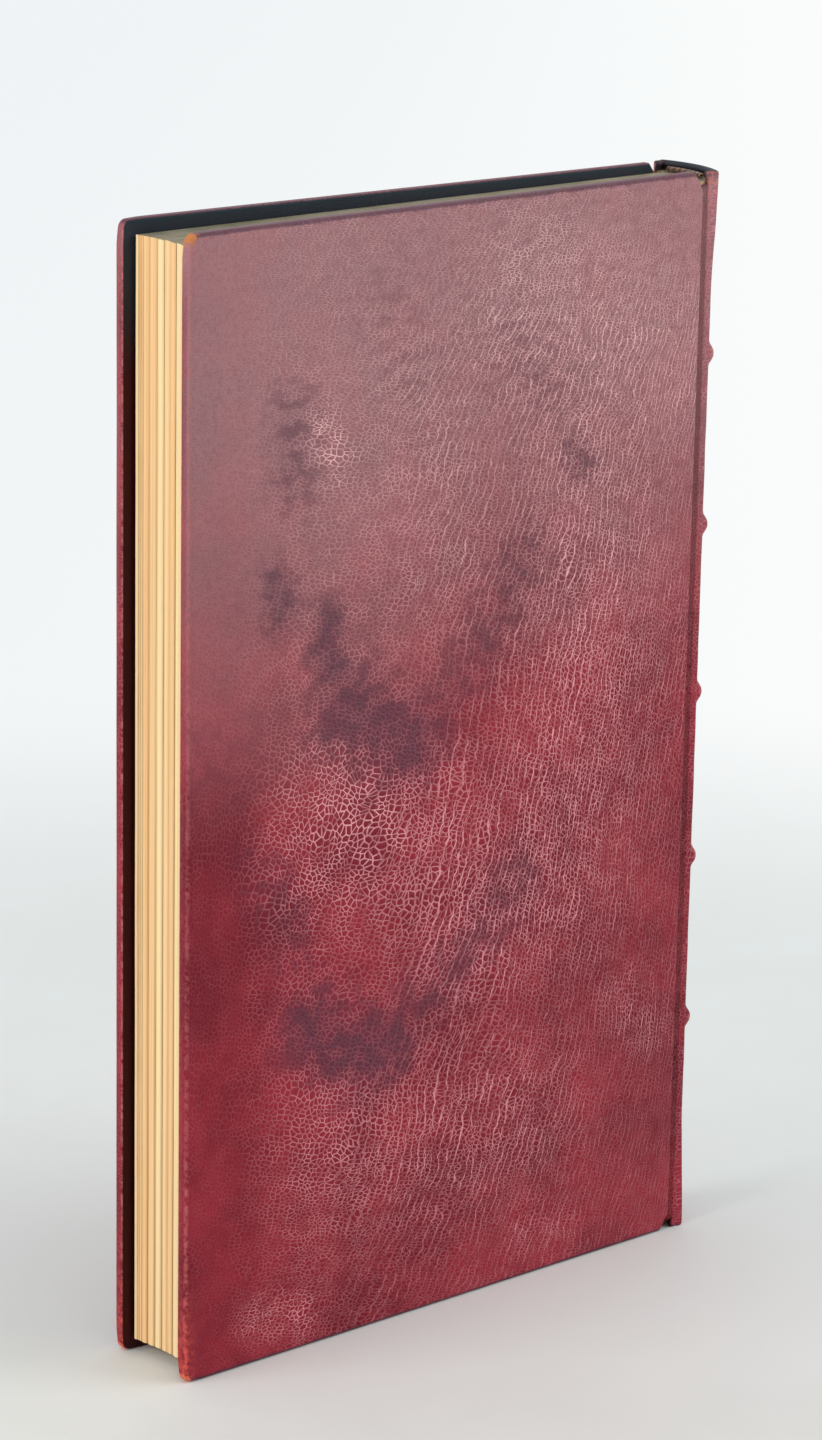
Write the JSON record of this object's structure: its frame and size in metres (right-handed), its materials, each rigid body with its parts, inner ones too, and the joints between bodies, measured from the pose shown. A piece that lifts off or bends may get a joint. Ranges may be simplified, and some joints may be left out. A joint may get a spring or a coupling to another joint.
{
  "type": "leather-bound book",
  "caption": "Upright antique book in full red leather with raised bands on a rounded spine; both covers swing on leather joints beside the spine.",
  "frame": {"origin": "middle of the standing book's footprint, on the surface it stands on", "axes": "+Z from tail to head, +X from the fore-edge to the spine, +Y from the rear cover to the front cover"},
  "size_m": [0.1314, 0.022, 0.216],
  "materials": {
    "red_leather": "crushed goatskin, semi-matt, rubbed at edges and joints",
    "pasteboard": "plain pasteboard",
    "laid_paper": "toned laid paper, gilt and darkened on the head edge",
    "endpaper": "plain toned endpaper",
    "lining_paper": "brown lining paper",
    "hemp_cord": "hemp cord",
    "silk": "silk thread over a cord core"
  },
  "bodies": {
    "book_block": {"text_block": "laid_paper", "spine_leather": "red_leather", "sewing_cord_1": "hemp_cord", "sewing_cord_2": "hemp_cord", "sewing_cord_3": "hemp_cord", "sewing_cord_4": "hemp_cord", "sewing_cord_5": "hemp_cord", "spine_lining_1": "lining_paper", "spine_lining_2": "lining_paper", "spine_lining_3": "lining_paper", "spine_lining_4": "lining_paper", "spine_lining_5": "lining_paper", "spine_lining_6": "lining_paper", "head_headband": "silk", "tail_headband": "silk"},
    "rear_cover": {"rear_board": "pasteboard", "rear_cover_leather": "red_leather", "rear_pastedown": "endpaper", "rear_laced_cord_1": "hemp_cord", "rear_laced_cord_2": "hemp_cord", "rear_laced_cord_3": "hemp_cord", "rear_laced_cord_4": "hemp_cord", "rear_laced_cord_5": "hemp_cord"},
    "front_cover": {"front_board": "pasteboard", "front_cover_leather": "red_leather", "front_pastedown": "endpaper", "front_laced_cord_1": "hemp_cord", "front_laced_cord_2": "hemp_cord", "front_laced_cord_3": "hemp_cord", "front_laced_cord_4": "hemp_cord", "front_laced_cord_5": "hemp_cord"}
  },
  "joints": [
    {"name": "rear_cover_hinge", "type": "hinge", "parent": "book_block", "child": "rear_cover", "pos_m": [0.05986, -0.01114, 0], "axis": [0, 0, 1], "range_deg": [0, 180]},
    {"name": "front_cover_hinge", "type": "hinge", "parent": "book_block", "child": "front_cover", "pos_m": [0.06102, 0.00551, 0], "axis": [0, 0, -1], "range_deg": [0, 177]}
  ]
}
